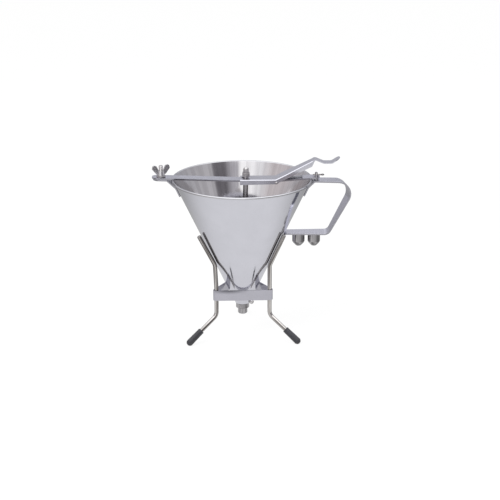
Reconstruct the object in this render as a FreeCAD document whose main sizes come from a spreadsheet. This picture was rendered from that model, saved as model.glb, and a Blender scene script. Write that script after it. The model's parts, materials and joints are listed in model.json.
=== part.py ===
import FreeCAD, Part
import math
import os
import Sketcher

# Pancake batter dispenser: a stainless funnel with a lever valve, standing in a three-legged wire stand.
# Frame: the origin is on the funnel's axis at table level, +Z up, +X towards the handle, millimetres.

DRIVING_SIZES = [
    ("rim_height", 229.0, "table to the top of the rolled rim"),
    ("rim_radius", 95.0, "outside of the cone at the rim"),
    ("cone_angle", 25.0, "cone wall from the vertical, degrees"),
    ("cone_sheet", 1.0, "sheet of the cone"),
    ("cone_depth", 181.5, "rim to the end of the sheet"),
    ("bead_radius", 1.5, "rolled edge"),
    ("bead_lap", 0.8, "how far the roll laps over the sheet"),
    ("weld_gap", 0.05, "between pieces that are welded or riveted"),
    ("run_gap", 0.05, "radial play of a shaft or thread that turns"),
    ("seat_gap", 0.25, "valve tip to its seat"),
    ("rest_gap", 0.1, "flat faces that rest on each other and move apart"),
    ("plug_rise", 2.2, "outlet socket inside the end of the cone"),
    ("socket_drop", 0.6, "outlet socket below the cone"),
    ("socket_radius", 9.8, "shoulder that the nozzle screws up to"),
    ("spigot_radius", 7.0, "thread for a nozzle"),
    ("spigot_length", 5.5, "length of that thread"),
    ("outlet_radius", 3.0, "bore under the valve seat"),
    ("lug_radius", 2.9, "round lug beside the outlet"),
    ("lug_length", 5.6, "length of that lug"),
    ("lug_above", 3.2, "where its axis leaves the cone, above the end of the sheet"),
    ("lug_azimuth", 27.0, "how far the lug is turned from the handle to the front, degrees"),
    ("seat_width", 1.8, "conical valve seat"),
    ("floor_fall", 0.8, "slope of the floor round the seat"),
    ("cap_radius", 9.4, "outside of the fitted nozzle"),
    ("cap_floor", 1.5, "wall between a nozzle's thread and its spout"),
    ("cap_bevel", 0.7, "bevel of a nozzle's lower edge"),
    ("spout_radius", 6.7, "outside of the fitted nozzle's spout"),
    ("spout_length", 8.7, "length of that spout"),
    ("spout_bore", 4.0, "hole of the fitted nozzle"),
    ("spout_bevel", 1.3, "bevelled mouth of the spout"),
    ("spare_radius", 8.7, "outside of a spare nozzle"),
    ("spare_depth", 11.3, "straight part of a spare nozzle"),
    ("spare_shoulder", 2.2, "height of the steep part of its taper"),
    ("spare_taper", 4.2, "height of the rest of its taper"),
    ("spare_tip_radius", 3.7, "outside of its mouth"),
    ("spare_bore_a", 2.5, "hole of the inner spare nozzle"),
    ("spare_bore_b", 1.5, "hole of the outer spare nozzle"),
    ("spare_inset", 16.8, "inner spare nozzle inwards from the rim"),
    ("spare_pitch", 21.5, "between the spare nozzles"),
    ("rod_radius", 3.5, "valve rod"),
    ("rod_tip_radius", 1.2, "blunt end of the valve tip"),
    ("rod_lean_angle", 1.66, "lean of the rod towards the handle, degrees"),
    ("rod_thread_radius", 3.0, "threaded top of the rod"),
    ("nut_play", 1.9, "free height between the lever and the nut"),
    ("nut_flats", 10.2, "hexagon nut across flats"),
    ("nut_height", 5.6, "hexagon nut"),
    ("cap_nut_radius", 3.9, "domed nut on top"),
    ("cap_nut_height", 7.5, "height of the domed nut"),
    ("cap_nut_wall", 2.2, "metal over the end of the thread"),
    ("bar_width", 18.0, "bridge bar"),
    ("bar_sheet", 2.0, "thickness of the bar"),
    ("bar_sag", 2.9, "middle of the bar below its bearing on the rim"),
    ("bar_flat_left", 8.0, "left end of the bar's level part from the axis"),
    ("bar_bend", 20.0, "bend radius of the bar"),
    ("bar_over_left", 28.5, "bar beyond the rim, left"),
    ("bar_over_right", 11.5, "bar beyond the rim, right"),
    ("bar_hole_play", 0.35, "play of studs and rod in the bar"),
    ("ear_width", 6.8, "ear that carries the pivot pin"),
    ("ear_depth", 3.5, "ear below the bar"),
    ("ear_sheet", 1.2, "thickness of an ear"),
    ("ear_round", 3.0, "rounding of an ear"),
    ("pivot_place", 47.0, "pivot pin from the axis"),
    ("pivot_radius", 1.25, "pivot pin"),
    ("pivot_head", 1.9, "riveted head of the pin"),
    ("pivot_head_height", 0.8, "height of that head"),
    ("pivot_washer", 1.2, "thickness of the washers beside the ears"),
    ("lever_width", 23.7, "lever at its flat part"),
    ("lever_sheet", 1.2, "sheet of the lever"),
    ("flange_left", 7.2, "flange depth at the lever's left end"),
    ("flange_bend", 6.2, "flange depth at the bend"),
    ("flange_crest", 7.8, "flange depth at the crest"),
    ("lever_left", 2.7, "lever's left end beyond the axis"),
    ("bend_inset", 1.0, "bend of the lever before the pivot pin"),
    ("lever_run", 53.4, "bend to crest, level distance"),
    ("lever_rise", 26.8, "bend to crest, height"),
    ("parallel_run", 14.0, "part of that run before the lever tapers"),
    ("crest_width", 15.5, "lever at the crest"),
    ("flange_cut", 4.7, "slanting end of the flanges"),
    ("slot_play", 0.3, "rod to the sides of the lever's slot"),
    ("slot_reach", 2.3, "extra slot length for the lever's swing"),
    ("thumb_width", 15.0, "thumb plate"),
    ("thumb_round", 7.2, "corners of the thumb plate"),
    ("dip_start", 12.6, "crest to the start of the hollow"),
    ("dip_length", 11.0, "length of the hollow"),
    ("thumb_dip", 5.2, "hollow below the crest"),
    ("thumb_length", 34.4, "crest to the tip of the thumb plate"),
    ("thumb_tip", 2.0, "tip above the crest"),
    ("thumb_bend", 9.0, "bend radius of the thumb plate"),
    ("spring_width", 8.0, "leaf spring"),
    ("spring_sheet", 0.6, "thickness of the leaf"),
    ("spring_root", 21.0, "pivot to the welded end of the leaf"),
    ("spring_fold", 1.4, "pivot to the fold of the leaf"),
    ("spring_foot", 33.0, "pivot to where the leaf bears on the bar"),
    ("spring_end", 3.0, "turned-up end of the leaf"),
    ("spring_turn_up", 1.2, "height of that end"),
    ("spring_bend", 1.0, "radius of the fold"),
    ("strap_width", 20.0, "handle and clamp bracket"),
    ("strap_sheet", 2.0, "thickness of those straps"),
    ("strap_bend", 3.0, "small bends of the straps"),
    ("strap_reach", 7.6, "where the outward slope would meet the rim plane, beyond the rim"),
    ("tab_drop", 23.6, "lower end of the upper tabs below the rim"),
    ("handle_top", 2.2, "top of the handle below the rim"),
    ("handle_fall", 1.3, "fall of its upper bar towards the grip"),
    ("handle_over", 63.6, "corner of the handle beyond the rim if it were sharp"),
    ("handle_round", 17.0, "upper corner of the handle"),
    ("grip_over", 24.0, "lower corner of the handle beyond the rim if it were sharp"),
    ("grip_round", 9.0, "lower corner of the handle"),
    ("handle_bottom", 77.3, "top of the lower bar below the rim"),
    ("foot_tab", 19.7, "lower end of the handle below its lower bar"),
    ("lug_over", 16.0, "clamp stud beyond the rim"),
    ("lug_end", 11.0, "clamp stud to the end of the clamp bracket"),
    ("lug_round", 8.5, "corners of the clamp bracket"),
    ("clamp_radius", 3.0, "clamp stud"),
    ("clamp_height", 18.5, "top of the clamp stud above the rim"),
    ("clamp_bevel", 0.8, "bevelled end of the clamp stud"),
    ("washer_radius", 6.5, "washer under the wing nut"),
    ("washer_height", 1.2, "thickness of that washer"),
    ("wing_angle", 25.0, "how far the wings are turned, degrees"),
    ("wing_base", 5.4, "foot of the wing nut"),
    ("wing_neck", 4.4, "top of its hub"),
    ("wing_hub", 6.5, "height of its hub"),
    ("wing_span", 12.9, "tip of a wing from its axis"),
    ("wing_height", 15.2, "top of a wing above its foot"),
    ("wing_blade", 5.4, "width of a wing"),
    ("wing_sheet", 2.6, "thickness of a wing"),
    ("hook_over", 7.0, "hook stud beyond the rim"),
    ("hook_radius", 2.0, "hook stud"),
    ("hook_shoulder", 3.0, "shoulder of the hook stud"),
    ("hook_height", 8.2, "top of the hook stud above the rim"),
    ("hook_bevel", 0.8, "bevelled top of the hook stud"),
    ("keeper_radius", 1.0, "split pin"),
    ("keeper_height", 4.4, "split pin above the rim"),
    ("keeper_before", 4.5, "end of the split pin before the stud"),
    ("keeper_length", 11.5, "straight part of the split pin"),
    ("keeper_eye", 1.5, "eye of the split pin, to the wire's middle"),
    ("keeper_wire", 0.9, "wire of that eye"),
    ("leg_radius", 3.0, "wire of the stand"),
    ("leg_place", 42.9, "upright part of a leg from the axis"),
    ("leg_bend", 10.0, "bends of a leg"),
    ("leg_shoulder", 109.0, "upper bend above the table"),
    ("arm_length", 51.8, "arm above the upper bend"),
    ("left_arm_extra", 4.0, "how much longer the left arm is"),
    ("arm_angle", 27.5, "back arm from the vertical, degrees"),
    ("left_arm_angle", 27.5, "left arm from the vertical, degrees"),
    ("right_arm_angle", 25.2, "right arm from the vertical, degrees"),
    ("left_lean", 3.2, "how far the left leg leans out between band and bend"),
    ("foot_place", 86.6, "where a foot stands, from the axis"),
    ("foot_angle", 36.0, "splay of the feet below the horizontal, degrees"),
    ("foot_radius", 4.75, "rubber foot"),
    ("foot_mouth", 4.3, "rubber foot at its open end"),
    ("foot_length", 23.0, "rubber foot without its round end"),
    ("foot_wall", 2.5, "rubber beyond the end of the wire"),
    ("foot_flat", 0.4, "worn flat under a foot"),
    ("stand_angle", 1.5, "how far the stand is turned, degrees"),
    ("band_height", 15.0, "strap round the legs"),
    ("band_top", 74.0, "upper edge of the strap above the table"),
    ("band_sheet", 1.5, "thickness of the strap"),
]

LEFT_AZIMUTH = 210.0
RIGHT_AZIMUTH = 330.0
BACK_AZIMUTH = 90.0


class Size:
    """A dimension: its value, and the expression of sheet cells that it comes from."""

    def __init__(self, value, text):
        self.value = value
        self.text = text

    def __add__(self, other):
        other = as_size(other)
        return Size(self.value + other.value, "(%s + %s)" % (self.text, other.text))

    def __radd__(self, other):
        return as_size(other) + self

    def __sub__(self, other):
        other = as_size(other)
        return Size(self.value - other.value, "(%s - %s)" % (self.text, other.text))

    def __rsub__(self, other):
        return as_size(other) - self

    def __mul__(self, other):
        other = as_size(other)
        return Size(self.value * other.value, "%s * %s" % (self.text, other.text))

    def __rmul__(self, other):
        return as_size(other) * self

    def __truediv__(self, other):
        other = as_size(other)
        return Size(self.value / other.value, "%s / (%s)" % (self.text, other.text))

    def __neg__(self):
        return Size(-self.value, "(0 - %s)" % self.text)


def atan(ratio):
    return Size(math.degrees(math.atan(ratio.value)), "atan(%s)" % ratio.text)


def as_size(number):
    return number if isinstance(number, Size) else Size(number, "%r" % number)


def tan(angle):
    return Size(math.tan(math.radians(angle.value)), "tan(%s)" % angle.text)


def sin(angle):
    return Size(math.sin(math.radians(angle.value)), "sin(%s)" % angle.text)


def cos(angle):
    return Size(math.cos(math.radians(angle.value)), "cos(%s)" % angle.text)


class Sheet:
    """The driving sizes, one spreadsheet row each, read as attributes."""

    def __init__(self, doc):
        table = doc.addObject("Spreadsheet::Sheet", "sizes")
        for row, (name, value, meaning) in enumerate(DRIVING_SIZES, start=1):
            table.set("A%d" % row, name)
            table.set("B%d" % row, "%r" % value)
            table.set("C%d" % row, meaning)
            table.setAlias("B%d" % row, name)
            setattr(self, name, Size(value, "sizes." + name))


doc = FreeCAD.newDocument("batter_dispenser")
d = Sheet(doc)
doc.recompute()
sub_parts = []


# Document helpers

def bind(item, prop, size):
    item.setExpression(prop, size.text)


def new_body(label):
    body = doc.addObject("PartDesign::Body", label)
    body.Label = label
    sub_parts.append(body)
    return body


def place(item, x, y, z, axis=(0, 0, 1), angle=0.0):
    spot = FreeCAD.Vector(as_size(x).value, as_size(y).value, as_size(z).value)
    turn = FreeCAD.Rotation(FreeCAD.Vector(*axis), as_size(angle).value)
    item.Placement = FreeCAD.Placement(spot, turn)
    for letter, size in (("x", x), ("y", y), ("z", z)):
        if isinstance(size, Size):
            bind(item, "Placement.Base." + letter, size)


def origin_plane(body, role):
    return next(f for f in body.Origin.OriginFeatures if f.Role == role)


def new_sketch(body, name, role, lift=None):
    sketch = body.newObject("Sketcher::SketchObject", name)
    sketch.AttachmentSupport = (origin_plane(body, role), "")
    sketch.MapMode = "FlatFace"
    if lift is not None:
        bind(sketch, "AttachmentOffset.Base.z", lift)
    return sketch


def hold(sketch, kind, *items):
    return sketch.addConstraint(Sketcher.Constraint(kind, *items))


def hold_point(sketch, curve, end, x, y):
    for kind, size in (("DistanceX", as_size(x)), ("DistanceY", as_size(y))):
        index = hold(sketch, kind, -1, 1, curve, end, size.value)
        sketch.setExpression("Constraints[%d]" % index, size.text)


def circle(sketch, x, y, radius):
    middle = FreeCAD.Vector(as_size(x).value, as_size(y).value, 0)
    curve = sketch.addGeometry(Part.Circle(middle, FreeCAD.Vector(0, 0, 1), radius.value))
    hold_point(sketch, curve, 3, x, y)
    index = hold(sketch, "Radius", curve, radius.value)
    sketch.setExpression("Constraints[%d]" % index, radius.text)


def corner_arc(before, corner, after, radius):
    """Tangent points, centre and sense of an arc that rounds the corner of a path."""
    back = (before - corner).normalize()
    ahead = (after - corner).normalize()
    half = back.getAngle(ahead) / 2
    reach = radius / math.tan(half)
    middle = corner + (back + ahead).normalize() * (radius / math.sin(half))
    left_turn = (back.cross(ahead)).z < 0
    return corner + back * reach, corner + ahead * reach, middle, left_turn


def outline(sketch, corners, closed=True):
    """Draw straight runs through the corners, each (x, y) or (x, y, radius of the rounded corner)."""
    spots = [FreeCAD.Vector(as_size(c[0]).value, as_size(c[1]).value, 0) for c in corners]
    count = len(corners)
    rounds = {}
    for i, corner in enumerate(corners):
        if len(corner) == 3:
            ahead = spots[(i + 1) % count]
            rounds[i] = corner_arc(spots[i - 1], spots[i], ahead, as_size(corner[2]).value)
    lines = []
    for i in range(count if closed else count - 1):
        j = (i + 1) % count
        start = rounds[i][1] if i in rounds else spots[i]
        stop = rounds[j][0] if j in rounds else spots[j]
        lines.append(sketch.addGeometry(Part.LineSegment(start, stop)))
    for i, corner in enumerate(corners):
        loose_end = not closed and i in (0, count - 1)
        if loose_end:
            curve, end = (lines[0], 1) if i == 0 else (lines[-1], 2)
            hold_point(sketch, curve, end, corner[0], corner[1])
        elif i in rounds:
            round_corner(sketch, lines[i - 1], lines[i % len(lines)], spots[i], corner, rounds[i])
        else:
            hold(sketch, "Coincident", lines[i - 1], 2, lines[i], 1)
            hold_point(sketch, lines[i], 1, corner[0], corner[1])


def round_corner(sketch, line_in, line_out, spot, corner, arc_data):
    start, stop, middle, left_turn = arc_data
    radius = as_size(corner[2])
    first, last = (start, stop) if left_turn else (stop, start)
    angles = [math.atan2(p.y - middle.y, p.x - middle.x) for p in (first, last)]
    ring = Part.Circle(middle, FreeCAD.Vector(0, 0, 1), radius.value)
    arc = sketch.addGeometry(Part.ArcOfCircle(ring, *angles))
    end_in, end_out = (1, 2) if left_turn else (2, 1)
    mark = sketch.addGeometry(Part.Point(spot), True)
    hold_point(sketch, mark, 1, corner[0], corner[1])
    hold(sketch, "PointOnObject", mark, 1, line_in)
    hold(sketch, "PointOnObject", mark, 1, line_out)
    hold(sketch, "Tangent", line_in, 2, arc, end_in)
    hold(sketch, "Tangent", arc, end_out, line_out, 1)
    index = hold(sketch, "Radius", arc, radius.value)
    sketch.setExpression("Constraints[%d]" % index, radius.text)


def extrude(body, kind, sketch, length, both_sides=True, backwards=False):
    feature = body.newObject("PartDesign::" + kind, kind)
    feature.Profile = sketch
    feature.SideType = "Symmetric" if both_sides else "One side"
    feature.Reversed = backwards
    bind(feature, "Length", as_size(length))
    return feature


def spin(body, kind, sketch):
    feature = body.newObject("PartDesign::" + kind, kind)
    feature.Profile = sketch
    feature.ReferenceAxis = (sketch, ["V_Axis"])
    feature.Angle = 360.0
    return feature


def revolved(body, corners):
    profile = new_sketch(body, "profile", "XZ_Plane")
    outline(profile, corners)
    return spin(body, "Revolution", profile)


def dress(body, kind, prop, size, wanted):
    """Fillet or chamfer the edges of the body's last feature that the test accepts."""
    doc.recompute()
    base = body.Tip
    names = ["Edge%d" % (i + 1) for i, edge in enumerate(base.Shape.Edges) if wanted(edge)]
    if not names:
        raise ValueError("no edge to dress on " + body.Label)
    feature = body.newObject("PartDesign::" + kind, kind)
    feature.Base = (base, names)
    bind(feature, prop, size)
    return feature


def fillet(body, radius, wanted):
    return dress(body, "Fillet", "Radius", radius, wanted)


def is_end_corner(end, half_width):
    """Test for the short edges at the two corners of a strap's end, which may slope."""
    def wanted(edge):
        spots = [v.Point for v in edge.Vertexes]
        at_side = all(abs(abs(p.y) - half_width.value) < 0.01 for p in spots)
        one_side = abs(spots[0].y - spots[-1].y) < 0.01
        near_end = all(abs(p.x - end.value) < 1.5 for p in spots)
        return at_side and one_side and near_end and edge.Length < 3.0
    return wanted


def start_frame(first, second):
    """Placement at the start of a path in the XZ plane: Z along the path, X across it."""
    along = (second - first).normalize()
    across = FreeCAD.Vector(0, 1, 0)
    turn = FreeCAD.Rotation(across, along.cross(across), along, "ZXY")
    return FreeCAD.Placement(first, turn)


def sweep(body, corners, draw_section, mitred=False):
    """Sweep a section along a path of straight runs and arcs in the XZ plane."""
    path = new_sketch(body, "path", "XZ_Plane")
    outline(path, corners, closed=False)
    section = new_sketch(body, "section", "XY_Plane")
    ends = [FreeCAD.Vector(as_size(c[0]).value, 0, as_size(c[1]).value) for c in corners[:2]]
    section.AttachmentOffset = start_frame(*ends)
    draw_section(section)
    pipe = body.newObject("PartDesign::AdditivePipe", "AdditivePipe")
    pipe.Profile = section
    pipe.Spine = path
    pipe.Transition = "Right corner" if mitred else "Transformed"
    return pipe


def flat_section(width, sheet):
    def draw(section):
        outline(section, box_corners(-(width / 2), width / 2, -(sheet / 2), sheet / 2))
    return draw


def round_section(radius):
    def draw(section):
        circle(section, 0, 0, radius)
    return draw


def box_corners(left, right, low, high):
    return [(left, low), (right, low), (right, high), (left, high)]


def eight_sided(x, y, radius):
    """Corners of an octagon that stands in for a small round section."""
    corner = radius / cos(as_size(22.5))
    angles = [as_size(22.5 + 45.0 * k) for k in range(8)]
    return [(x + corner * cos(a), y + corner * sin(a)) for a in angles]


# Places that several pieces share

rim = d.rim_height
cone_end = rim - d.cone_depth
sheet_across = d.cone_sheet / cos(d.cone_angle)
strap_off_cone = (d.weld_gap + d.strap_sheet / 2) / cos(d.cone_angle)
cone_end_inside = d.rim_radius - d.cone_depth * tan(d.cone_angle) - sheet_across
shoulder_height = cone_end - d.socket_drop
spigot_end = shoulder_height - d.spigot_length
plug_top = cone_end + d.plug_rise
seat_top = plug_top - d.floor_fall
seat_height = seat_top - d.seat_width
rim_inside = d.rim_radius - sheet_across
bar_line_rim = rim + d.rest_gap + d.bar_sheet / 2
bar_line_low = bar_line_rim - d.bar_sag
bar_low = bar_line_low - d.bar_sheet / 2
bar_top = bar_line_low + d.bar_sheet / 2
bar_flat_right = d.pivot_place + d.ear_width
slope_left = d.bar_sag / (rim_inside - d.bar_flat_left)
slope_right = d.bar_sag / (rim_inside - bar_flat_right)
lug_place = d.rim_radius + d.lug_over
hook_place = d.rim_radius + d.hook_over
pivot_height = bar_low - d.pivot_radius - d.weld_gap
lever_bend = d.pivot_place - d.bend_inset
lever_crest = lever_bend + d.lever_run
web_low = bar_top + d.rest_gap
web_top = web_low + d.lever_sheet
rod_end = seat_height + d.seat_gap * math.sqrt(2) - d.outlet_radius + d.rod_tip_radius
rod_length = (web_top + d.nut_play - rod_end) / cos(d.rod_lean_angle)
rod_at_bar = (bar_low - rod_end) * tan(d.rod_lean_angle)
rod_at_lever = (web_top - rod_end) * tan(d.rod_lean_angle)
handle_middle = rim - d.handle_top - d.strap_sheet / 2
lower_bar_middle = rim - d.handle_bottom - d.strap_sheet / 2
lower_bar_under = rim - d.handle_bottom - d.strap_sheet
spare_place = d.rim_radius - d.spare_inset


def bar_line(place):
    """Height of the middle of the bar's sheet at a place beyond its level part, left of the axis below 0."""
    if place.value < 0:
        return bar_line_low + (-place - d.bar_flat_left) * slope_left
    return bar_line_low + (place - bar_flat_right) * slope_right


def cone_radius(height):
    return d.rim_radius - (rim - height) * tan(d.cone_angle)


def strap_line(height):
    """Distance from the axis of a strap's middle where it lies along the cone."""
    return cone_radius(height) + strap_off_cone


# The outward slope of both upper straps rises at 45 degrees from the strap line.
slope_foot = rim - (d.strap_reach - strap_off_cone) / (1 - tan(d.cone_angle))


def build_funnel_cone():
    body = new_body("funnel_cone")
    revolved(body, [
        (d.rim_radius, rim),
        (cone_radius(cone_end), cone_end),
        (cone_end_inside, cone_end),
        (d.rim_radius - sheet_across, rim),
    ])
    roll = new_sketch(body, "roll", "XZ_Plane")
    middle = d.rim_radius + d.bead_radius - d.bead_lap
    outline(roll, eight_sided(middle, rim - d.bead_radius, d.bead_radius))
    spin(body, "Revolution", roll)


def build_outlet_socket():
    body = new_body("outlet_socket")
    inside_end = cone_end_inside - d.weld_gap
    revolved(body, [
        (cone_radius(cone_end), cone_end - d.weld_gap),
        (d.socket_radius, shoulder_height),
        (d.spigot_radius, shoulder_height),
        (d.spigot_radius, spigot_end),
        (d.outlet_radius, spigot_end),
        (d.outlet_radius, seat_height),
        (d.outlet_radius + d.seat_width, seat_top),
        (inside_end + d.plug_rise * tan(d.cone_angle), plug_top),
        (inside_end, cone_end - d.weld_gap),
    ])


def build_socket_lug():
    """A short round lug that stands square on the outside of the cone, just above its end."""
    body = new_body("socket_lug")
    revolved(body, [
        (0, d.weld_gap),
        (d.lug_radius, d.weld_gap),
        (d.lug_radius, d.lug_length - d.lug_radius * 0.4),
        (d.lug_radius * 0.5, d.lug_length),
        (0, d.lug_length),
    ])
    turn = FreeCAD.Rotation(FreeCAD.Vector(0, 0, 1), -d.lug_azimuth.value)
    lean = FreeCAD.Rotation(FreeCAD.Vector(0, 1, 0), 90.0 + d.cone_angle.value)
    height = cone_end + d.lug_above
    root = FreeCAD.Vector(cone_radius(height).value, 0, height.value)
    body.Placement = FreeCAD.Placement(turn.multVec(root), turn * lean)


def build_fitted_nozzle():
    body = new_body("fitted_nozzle")
    top = shoulder_height - d.rest_gap
    floor = spigot_end - d.rest_gap
    step = floor - d.cap_floor
    mouth = step - d.spout_length
    thread = d.spigot_radius + d.run_gap
    revolved(body, [
        (d.cap_radius, top),
        (d.cap_radius, step + d.cap_bevel),
        (d.cap_radius - d.cap_bevel, step),
        (d.spout_radius, step),
        (d.spout_radius, mouth + d.spout_bevel),
        (d.spout_radius - d.spout_bevel, mouth),
        (d.spout_bore, mouth),
        (d.spout_bore, floor),
        (thread, floor),
        (thread, top),
    ])


def build_spare_nozzle(label, place_from_axis, bore):
    body = new_body(label)
    top = lower_bar_under - d.rest_gap
    floor = lower_bar_under - d.spigot_length - d.rest_gap
    taper_top = top - d.spare_depth
    mouth = taper_top - d.spare_shoulder - d.spare_taper
    thread = d.spigot_radius + d.run_gap
    revolved(body, [
        (d.spare_radius, top),
        (d.spare_radius, taper_top),
        (d.spare_radius - d.spare_shoulder / 2, taper_top - d.spare_shoulder),
        (d.spare_tip_radius, mouth),
        (bore, mouth),
        (bore, floor),
        (thread, floor),
        (thread, top),
    ])
    place(body, place_from_axis, 0, 0)


def build_nozzle_stud(label, place_from_axis):
    body = new_body(label)
    low = lower_bar_under - d.spigot_length
    revolved(body, box_corners(0, d.spigot_radius, low, lower_bar_under))
    place(body, place_from_axis, 0, 0)


def build_valve_rod():
    body = new_body("valve_rod")
    thread_end = rod_length + d.nut_height + d.cap_nut_height - d.cap_nut_wall
    tip_height = d.rod_radius - d.rod_tip_radius
    revolved(body, [
        (0, 0),
        (d.rod_tip_radius, 0),
        (d.rod_radius, tip_height),
        (d.rod_radius, rod_length),
        (d.rod_thread_radius, rod_length),
        (d.rod_thread_radius, thread_end),
        (0, thread_end),
    ])
    place(body, 0, 0, rod_end, (0, 1, 0), d.rod_lean_angle)


def build_rod_nut():
    body = new_body("rod_nut")
    plan = new_sketch(body, "hexagon", "XY_Plane", rod_length)
    corner = d.nut_flats / (2 * cos(as_size(30.0)))
    angles = [as_size(30.0 + 60.0 * k) for k in range(6)]
    outline(plan, [(corner * cos(a), corner * sin(a)) for a in angles])
    extrude(body, "Pad", plan, d.nut_height, both_sides=False)
    hole = new_sketch(body, "hole", "XY_Plane", rod_length)
    circle(hole, 0, 0, d.rod_thread_radius + d.weld_gap)
    extrude(body, "Pocket", hole, d.nut_height, both_sides=False, backwards=True)
    place(body, 0, 0, rod_end, (0, 1, 0), d.rod_lean_angle)


def build_rod_cap_nut():
    body = new_body("rod_cap_nut")
    low = rod_length + d.nut_height
    top = low + d.cap_nut_height
    inside = d.rod_thread_radius + d.weld_gap
    ceiling = top - d.cap_nut_wall + d.weld_gap
    revolved(body, [
        (inside, low),
        (d.cap_nut_radius, low),
        (d.cap_nut_radius, top - d.cap_nut_height / 3),
        (d.cap_nut_radius * 0.78, top - d.cap_nut_height / 9),
        (d.cap_nut_radius * 0.4, top),
        (0, top),
        (0, ceiling),
        (inside, ceiling),
    ])
    place(body, 0, 0, rod_end, (0, 1, 0), d.rod_lean_angle)


def build_bridge_bar():
    body = new_body("bridge_bar")
    left = -(d.rim_radius + d.bar_over_left)
    right = d.rim_radius + d.bar_over_right
    sweep(body, [
        (left, bar_line(left)),
        (-d.bar_flat_left, bar_line_low, d.bar_bend),
        (bar_flat_right, bar_line_low, d.bar_bend),
        (right, bar_line(right)),
    ], flat_section(d.bar_width, d.bar_sheet))
    half_width = d.bar_width / 2
    fillet(body, half_width - 1, is_end_corner(left, half_width))
    fillet(body, d.hook_shoulder * 2, is_end_corner(right, half_width))
    ears = new_sketch(body, "ears", "XZ_Plane")
    half = d.ear_width / 2
    ear_end = bar_low - d.ear_depth
    outline(ears, [
        (d.pivot_place - half, bar_line_low),
        (d.pivot_place - half, ear_end, d.ear_round),
        (d.pivot_place + half, ear_end, d.ear_round),
        (d.pivot_place + half, bar_line_low),
    ])
    extrude(body, "Pad", ears, d.bar_width)
    between = new_sketch(body, "between_ears", "XZ_Plane")
    outline(between, box_corners(d.pivot_place - half - 1, d.pivot_place + half + 1, ear_end - 1, bar_low))
    extrude(body, "Pocket", between, d.bar_width - 2 * d.ear_sheet)
    pin_holes = new_sketch(body, "pin_holes", "XZ_Plane")
    circle(pin_holes, d.pivot_place, pivot_height, d.pivot_radius + d.run_gap)
    extrude(body, "Pocket", pin_holes, d.bar_width + 2)
    holes = new_sketch(body, "holes", "XY_Plane", bar_line_low)
    circle(holes, -lug_place, 0, d.clamp_radius + d.bar_hole_play)
    circle(holes, hook_place, 0, d.hook_radius + d.bar_hole_play)
    circle(holes, rod_at_bar, 0, d.rod_radius + d.bar_hole_play)
    extrude(body, "Pocket", holes, 4 * (d.bar_sheet + d.bar_sag))


def build_lever():
    body = new_body("lever")
    rise_per_run = d.lever_rise / d.lever_run
    taper_start = lever_bend + d.parallel_run
    half = d.lever_width / 2
    half_crest = d.crest_width / 2
    stations = [
        (-d.lever_left, half, web_top, d.flange_left, d.lever_sheet),
        (lever_bend, half, web_top, d.flange_bend, d.lever_sheet),
        (taper_start, half, web_top + d.parallel_run * rise_per_run, d.flange_bend, sheet_on_slope()),
        (lever_crest, half_crest, web_top + d.lever_rise, d.flange_crest, sheet_on_slope()),
    ]
    outer = []
    inner = []
    for number, (place_x, half_width, top, depth, sheet) in enumerate(stations):
        shell = new_sketch(body, "outside_%d" % number, "YZ_Plane", place_x)
        outline(shell, box_corners(-half_width, half_width, top - depth, top))
        outer.append(shell)
        inside = half_width - d.lever_sheet
        room = new_sketch(body, "inside_%d" % number, "YZ_Plane", place_x)
        outline(room, box_corners(-inside, inside, top - depth - 1, top - sheet))
        inner.append(room)
    for kind, sections in (("AdditiveLoft", outer), ("SubtractiveLoft", inner)):
        loft = body.newObject("PartDesign::" + kind, kind)
        loft.Profile = sections[0]
        loft.Sections = sections[1:]
        loft.Ruled = True
    crest_top = web_top + d.lever_rise
    slant = new_sketch(body, "flange_slant", "XZ_Plane")
    low_end = crest_top - d.flange_crest - 4
    under_web = crest_top - sheet_on_slope() - 0.2
    outline(slant, [
        (lever_crest - d.flange_cut, low_end),
        (lever_crest + 1, low_end),
        (lever_crest + 1, under_web),
        (lever_crest - 0.01, under_web),
    ])
    extrude(body, "Pocket", slant, d.lever_width)
    build_thumb_plate(body, crest_top)
    cut_lever_holes(body)


def sheet_on_slope():
    """Height of the lever's sheet measured upright where it slopes."""
    return d.lever_sheet / cos(atan(d.lever_rise / d.lever_run))


def build_thumb_plate(body, crest_top):
    middle = crest_top - d.lever_sheet / 2
    dip = crest_top - d.thumb_dip
    dip_start = lever_crest + d.dip_start
    sweep(body, [
        (lever_crest - 2, middle - 0.55),
        (lever_crest + 1.5, middle, 2.5),
        (dip_start, dip, d.thumb_bend),
        (dip_start + d.dip_length, dip, d.thumb_bend),
        (lever_crest + d.thumb_length, crest_top + d.thumb_tip),
    ], flat_section(d.thumb_width, d.lever_sheet))
    fillet(body, d.thumb_round, is_end_corner(lever_crest + d.thumb_length, d.thumb_width / 2))


def cut_lever_holes(body):
    pin_hole = new_sketch(body, "pin_hole", "XZ_Plane")
    circle(pin_hole, d.pivot_place, pivot_height, d.pivot_radius + d.weld_gap / 2)
    extrude(body, "Pocket", pin_hole, d.lever_width + 2)
    slot = new_sketch(body, "rod_slot", "XY_Plane", web_low)
    reach = d.rod_radius + d.slot_play
    left = rod_at_lever - reach - d.slot_reach
    right = rod_at_lever + reach
    rounding = reach * 0.95
    outline(slot, [(x, y, rounding) for x, y in box_corners(left, right, -reach, reach)])
    extrude(body, "Pocket", slot, 4 * d.lever_sheet)


def build_pivot_pin():
    body = new_body("pivot_pin")
    half = d.lever_width / 2
    end = half + d.pivot_head_height
    profile = new_sketch(body, "profile", "XY_Plane")
    outline(profile, [
        (0, -end), (d.pivot_head * 0.6, -end), (d.pivot_head, -half), (d.pivot_radius, -half),
        (d.pivot_radius, half), (d.pivot_head, half), (d.pivot_head * 0.6, end), (0, end),
    ])
    spin(body, "Revolution", profile)
    place(body, d.pivot_place, 0, pivot_height)


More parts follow.
